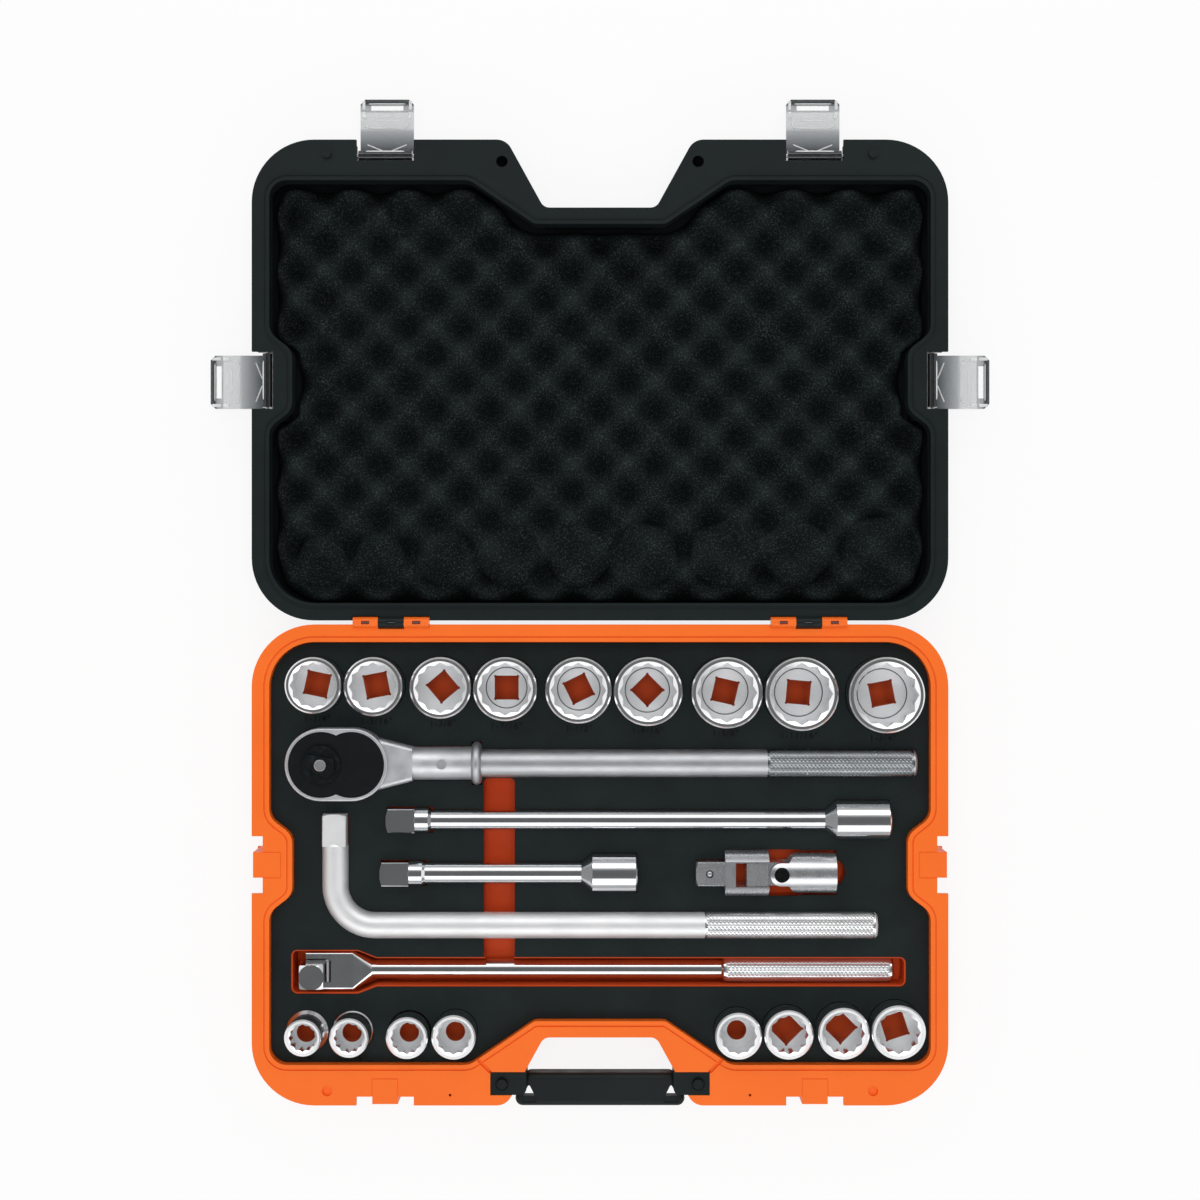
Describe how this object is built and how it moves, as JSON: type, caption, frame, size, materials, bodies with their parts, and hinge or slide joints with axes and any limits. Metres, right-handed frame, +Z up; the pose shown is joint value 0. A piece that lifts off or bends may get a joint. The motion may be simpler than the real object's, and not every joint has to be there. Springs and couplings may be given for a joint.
{
  "type": "socket wrench set in case",
  "caption": "Moulded case, open flat, with foam-lined lid and latches; a tray holds twelve-point sockets, ratchet, extensions, universal joint, L handle and flex handle.",
  "frame": {"origin": "centre of the base's underside, on the surface the open case rests on", "axes": "+X along the hinge line, +Y from the carry handle to the lid, +Z up"},
  "size_m": [0.6294, 0.8108, 0.072],
  "materials": {
    "orange_case": "moulded, fine texture",
    "black_case": "moulded, fine texture",
    "black_mat": "die-cut sheet, matt",
    "black_foam": "open-cell foam, cut to crests",
    "black_handle": "moulded",
    "smoke_latch": "clear, smoke tint",
    "bright_chrome": "polished plating",
    "satin_chrome": "satin plating",
    "matt_chrome": "matt plating",
    "satin_steel": "satin",
    "pin_steel": "ground",
    "black_cover": "matt black",
    "black_pin": "black oxide"
  },
  "bodies": {
    "base": {"case_base": "orange_case", "tool_tray": "orange_case", "deck_mat": "black_mat", "carry_handle": "black_handle", "hinge_pins": "pin_steel"},
    "lid": {"case_lid": "black_case", "lid_foam": "black_foam", "latch_pins": "pin_steel"},
    "ratchet": {"ratchet_head": "satin_steel", "ratchet_cover": "black_cover", "ratchet_handle": "satin_chrome", "handle_lock_pin": "pin_steel"},
    "ratchet_drive": {"drive_gear": "satin_steel"},
    "ratchet_pawl": {"ratchet_pawl": "pin_steel"},
    "reverse_dial": {"reverse_dial": "black_cover"},
    "release_button": {"release_button": "bright_chrome"},
    "long_extension": {"long_extension": "bright_chrome"},
    "short_extension": {"short_extension": "bright_chrome"},
    "joint_drive": {"joint_drive_yoke": "bright_chrome"},
    "joint_cross": {"joint_block": "satin_steel", "joint_pins": "black_pin"},
    "joint_socket": {"joint_socket_yoke": "bright_chrome"},
    "l_handle": {"l_handle": "matt_chrome"},
    "flex_handle": {"flex_bar": "bright_chrome", "flex_pin": "pin_steel"},
    "flex_head": {"flex_head": "bright_chrome"},
    "socket_1_1_4": {"socket_1_1_4": "bright_chrome"},
    "socket_1_5_16": {"socket_1_5_16": "bright_chrome"},
    "socket_1_3_8": {"socket_1_3_8": "bright_chrome"},
    "socket_1_7_16": {"socket_1_7_16": "bright_chrome"},
    "socket_1_1_2": {"socket_1_1_2": "bright_chrome"},
    "socket_1_9_16": {"socket_1_9_16": "bright_chrome"},
    "socket_1_5_8": {"socket_1_5_8": "bright_chrome"},
    "socket_1_11_16": {"socket_1_11_16": "bright_chrome"},
    "socket_1_3_4": {"socket_1_3_4": "bright_chrome"},
    "socket_3_4": {"socket_3_4": "bright_chrome"},
    "socket_13_16": {"socket_13_16": "bright_chrome"},
    "socket_7_8": {"socket_7_8": "bright_chrome"},
    "socket_15_16": {"socket_15_16": "bright_chrome"},
    "socket_1": {"socket_1": "bright_chrome"},
    "socket_1_1_16": {"socket_1_1_16": "bright_chrome"},
    "socket_1_1_8": {"socket_1_1_8": "bright_chrome"},
    "socket_1_3_16": {"socket_1_3_16": "bright_chrome"},
    "latch_front_left": {"latch_front_left": "smoke_latch"},
    "latch_front_right": {"latch_front_right": "smoke_latch"},
    "latch_side_left": {"latch_side_left": "smoke_latch"},
    "latch_side_right": {"latch_side_right": "smoke_latch"},
    "ratchet_ball": {"ratchet_ball": "pin_steel"},
    "long_extension_ball": {"long_extension_ball": "pin_steel"},
    "short_extension_ball": {"short_extension_ball": "pin_steel"},
    "joint_ball": {"joint_ball": "pin_steel"},
    "flex_ball": {"flex_ball": "pin_steel"}
  },
  "joints": [
    {"name": "lid_hinge", "type": "hinge", "parent": "base", "child": "lid", "pos_m": [0, 0.194, 0.056], "axis": [-1, 0, 0], "range_deg": [-180, 0]},
    {"name": "latch_front_left_hinge", "type": "hinge", "parent": "lid", "child": "latch_front_left", "pos_m": [-0.172, 0.5684, 0.052], "axis": [-1, 0, 0], "range_deg": [-90, 0]},
    {"name": "latch_front_right_hinge", "type": "hinge", "parent": "lid", "child": "latch_front_right", "pos_m": [0.172, 0.5684, 0.052], "axis": [-1, 0, 0], "range_deg": [-90, 0]},
    {"name": "latch_side_left_hinge", "type": "hinge", "parent": "lid", "child": "latch_side_left", "pos_m": [-0.26667, 0.388, 0.052], "axis": [0, -1, 0], "range_deg": [-90, 0]},
    {"name": "latch_side_right_hinge", "type": "hinge", "parent": "lid", "child": "latch_side_right", "pos_m": [0.26667, 0.388, 0.052], "axis": [0, 1, 0], "range_deg": [-90, 0]},
    {"name": "socket_1_1_4_lift", "type": "slide", "parent": "base", "child": "socket_1_1_4", "axis": [0, 0, 1], "range_m": [0, 0.06]},
    {"name": "socket_1_5_16_lift", "type": "slide", "parent": "base", "child": "socket_1_5_16", "axis": [0, 0, 1], "range_m": [0, 0.06]},
    {"name": "socket_1_3_8_lift", "type": "slide", "parent": "base", "child": "socket_1_3_8", "axis": [0, 0, 1], "range_m": [0, 0.06]},
    {"name": "socket_1_7_16_lift", "type": "slide", "parent": "base", "child": "socket_1_7_16", "axis": [0, 0, 1], "range_m": [0, 0.06]},
    {"name": "socket_1_1_2_lift", "type": "slide", "parent": "base", "child": "socket_1_1_2", "axis": [0, 0, 1], "range_m": [0, 0.06]},
    {"name": "socket_1_9_16_lift", "type": "slide", "parent": "base", "child": "socket_1_9_16", "axis": [0, 0, 1], "range_m": [0, 0.06]},
    {"name": "socket_1_5_8_lift", "type": "slide", "parent": "base", "child": "socket_1_5_8", "axis": [0, 0, 1], "range_m": [0, 0.06]},
    {"name": "socket_1_11_16_lift", "type": "slide", "parent": "base", "child": "socket_1_11_16", "axis": [0, 0, 1], "range_m": [0, 0.06]},
    {"name": "socket_1_3_4_lift", "type": "slide", "parent": "base", "child": "socket_1_3_4", "axis": [0, 0, 1], "range_m": [0, 0.06]},
    {"name": "socket_3_4_lift", "type": "slide", "parent": "base", "child": "socket_3_4", "axis": [0, 0, 1], "range_m": [0, 0.06]},
    {"name": "socket_13_16_lift", "type": "slide", "parent": "base", "child": "socket_13_16", "axis": [0, 0, 1], "range_m": [0, 0.06]},
    {"name": "socket_7_8_lift", "type": "slide", "parent": "base", "child": "socket_7_8", "axis": [0, 0, 1], "range_m": [0, 0.06]},
    {"name": "socket_15_16_lift", "type": "slide", "parent": "base", "child": "socket_15_16", "axis": [0, 0, 1], "range_m": [0, 0.06]},
    {"name": "socket_1_lift", "type": "slide", "parent": "base", "child": "socket_1", "axis": [0, 0, 1], "range_m": [0, 0.06]},
    {"name": "socket_1_1_16_lift", "type": "slide", "parent": "base", "child": "socket_1_1_16", "axis": [0, 0, 1], "range_m": [0, 0.06]},
    {"name": "socket_1_1_8_lift", "type": "slide", "parent": "base", "child": "socket_1_1_8", "axis": [0, 0, 1], "range_m": [0, 0.06]},
    {"name": "socket_1_3_16_lift", "type": "slide", "parent": "base", "child": "socket_1_3_16", "axis": [0, 0, 1], "range_m": [0, 0.06]},
    {"name": "ratchet_lift", "type": "slide", "parent": "base", "child": "ratchet", "axis": [0, 0, 1], "range_m": [0, 0.06]},
    {"name": "long_extension_lift", "type": "slide", "parent": "base", "child": "long_extension", "axis": [0, 0, 1], "range_m": [0, 0.06]},
    {"name": "short_extension_lift", "type": "slide", "parent": "base", "child": "short_extension", "axis": [0, 0, 1], "range_m": [0, 0.06]},
    {"name": "joint_drive_lift", "type": "slide", "parent": "base", "child": "joint_drive", "axis": [0, 0, 1], "range_m": [0, 0.06]},
    {"name": "l_handle_lift", "type": "slide", "parent": "base", "child": "l_handle", "axis": [0, 0, 1], "range_m": [0, 0.06]},
    {"name": "flex_handle_lift", "type": "slide", "parent": "base", "child": "flex_handle", "axis": [0, 0, 1], "range_m": [0, 0.06]},
    {"name": "drive_spin", "type": "hinge", "parent": "ratchet", "child": "ratchet_drive", "pos_m": [-0.222, 0.0808, 0.048], "axis": [0, 0, 1], "continuous": true},
    {"name": "reverse_dial_turn", "type": "hinge", "parent": "ratchet", "child": "reverse_dial", "pos_m": [-0.222, 0.0808, 0.065], "axis": [0, 0, 1], "range_deg": [0, 60]},
    {"name": "pawl_rock", "type": "hinge", "parent": "ratchet", "child": "ratchet_pawl", "pos_m": [-0.195, 0.0808, 0.048], "axis": [0, 0, 1], "range_deg": [0, 10]},
    {"name": "release_button_press", "type": "slide", "parent": "ratchet", "child": "release_button", "axis": [0, 0, 1], "range_m": [-0.002, 0], "stiffness_N_per_m": 400, "springref_m": 0.003},
    {"name": "joint_swing", "type": "hinge", "parent": "joint_drive", "child": "joint_cross", "pos_m": [0.125, -0.0072, 0.048], "axis": [0, -1, 0], "range_deg": [0, 45]},
    {"name": "joint_side_swing", "type": "hinge", "parent": "joint_cross", "child": "joint_socket", "pos_m": [0.145, -0.0072, 0.048], "axis": [0, 0, 1], "range_deg": [-2, 2]},
    {"name": "flex_head_swivel", "type": "hinge", "parent": "flex_handle", "child": "flex_head", "pos_m": [-0.229, -0.0872, 0.034], "axis": [0, 1, 0], "range_deg": [-25, 15]},
    {"name": "ratchet_ball_press", "type": "slide", "parent": "ratchet_drive", "child": "ratchet_ball", "axis": [0, -1, 0], "range_m": [-0.0007, 0], "stiffness_N_per_m": 800, "springref_m": 0.001},
    {"name": "long_extension_ball_press", "type": "slide", "parent": "long_extension", "child": "long_extension_ball", "axis": [0, -1, 0], "range_m": [-0.0007, 0], "stiffness_N_per_m": 800, "springref_m": 0.001},
    {"name": "short_extension_ball_press", "type": "slide", "parent": "short_extension", "child": "short_extension_ball", "axis": [0, -1, 0], "range_m": [-0.0007, 0], "stiffness_N_per_m": 800, "springref_m": 0.001},
    {"name": "joint_ball_press", "type": "slide", "parent": "joint_drive", "child": "joint_ball", "axis": [0, 0, 1], "range_m": [-0.0007, 0], "stiffness_N_per_m": 800, "springref_m": 0.001},
    {"name": "flex_ball_press", "type": "slide", "parent": "flex_head", "child": "flex_ball", "axis": [-1, 0, 0], "range_m": [-0.0007, 0], "stiffness_N_per_m": 800, "springref_m": 0.001}
  ],
  "couplings": [
    {"joint": "pawl_rock", "follows": "reverse_dial_turn", "ratio": 0.16667}
  ]
}
